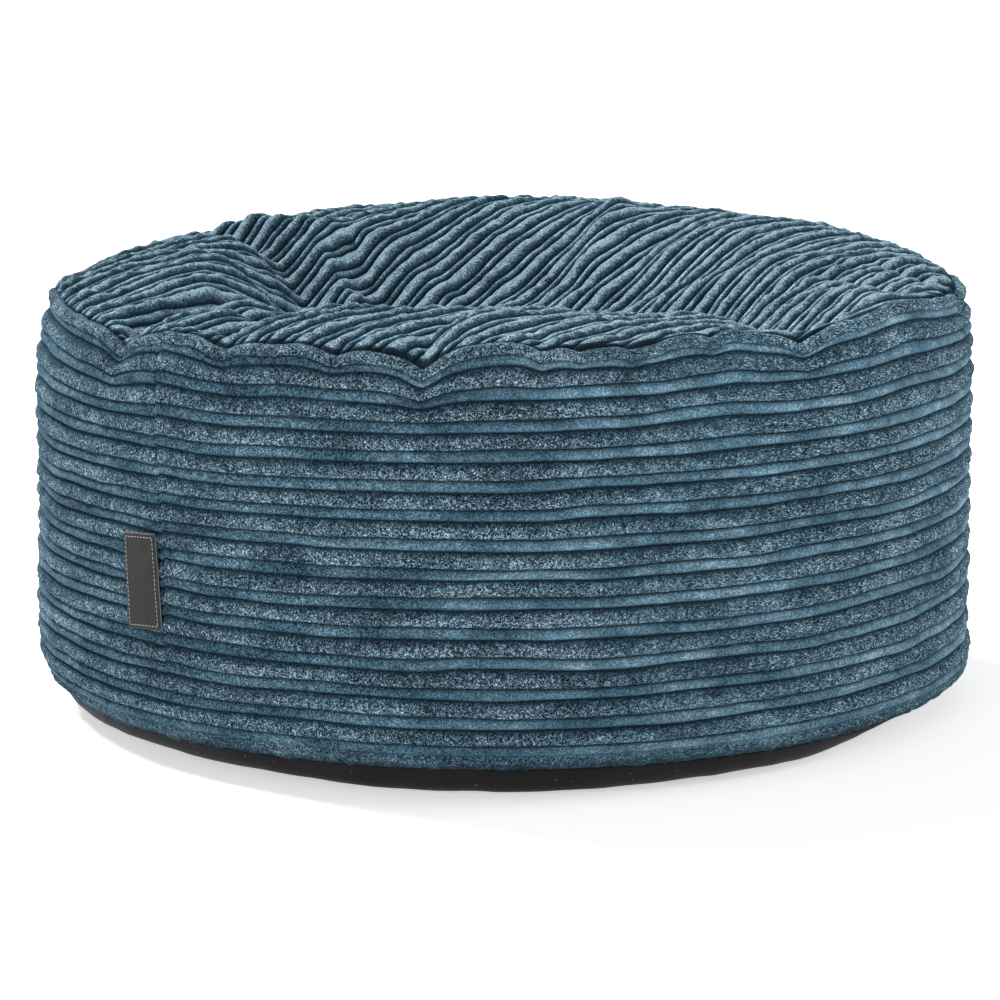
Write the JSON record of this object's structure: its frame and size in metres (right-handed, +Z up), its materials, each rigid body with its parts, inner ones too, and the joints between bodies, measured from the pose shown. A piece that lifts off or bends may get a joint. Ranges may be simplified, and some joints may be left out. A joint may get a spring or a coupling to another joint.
{
  "type": "corduroy pouf",
  "caption": "Round floor pouf: a filled drum covered in wide corduroy, with a dented, softly folded top and a flat fabric base. Used as a low seat or footstool.",
  "frame": {"origin": "centre of the base, on the surface that the pouf rests on", "axes": "+Z up, -Y toward the front of the picture's view, label left of the front"},
  "size_m": [0.6, 0.6, 0.3029],
  "materials": {
    "cord": "soft matte pile",
    "base_cloth": "matte plain weave",
    "label": "smooth matte"
  },
  "bodies": {
    "root": {"top_panel": "cord", "side_panel": "cord", "base_panel": "base_cloth", "label": "label"}
  },
  "joints": []
}
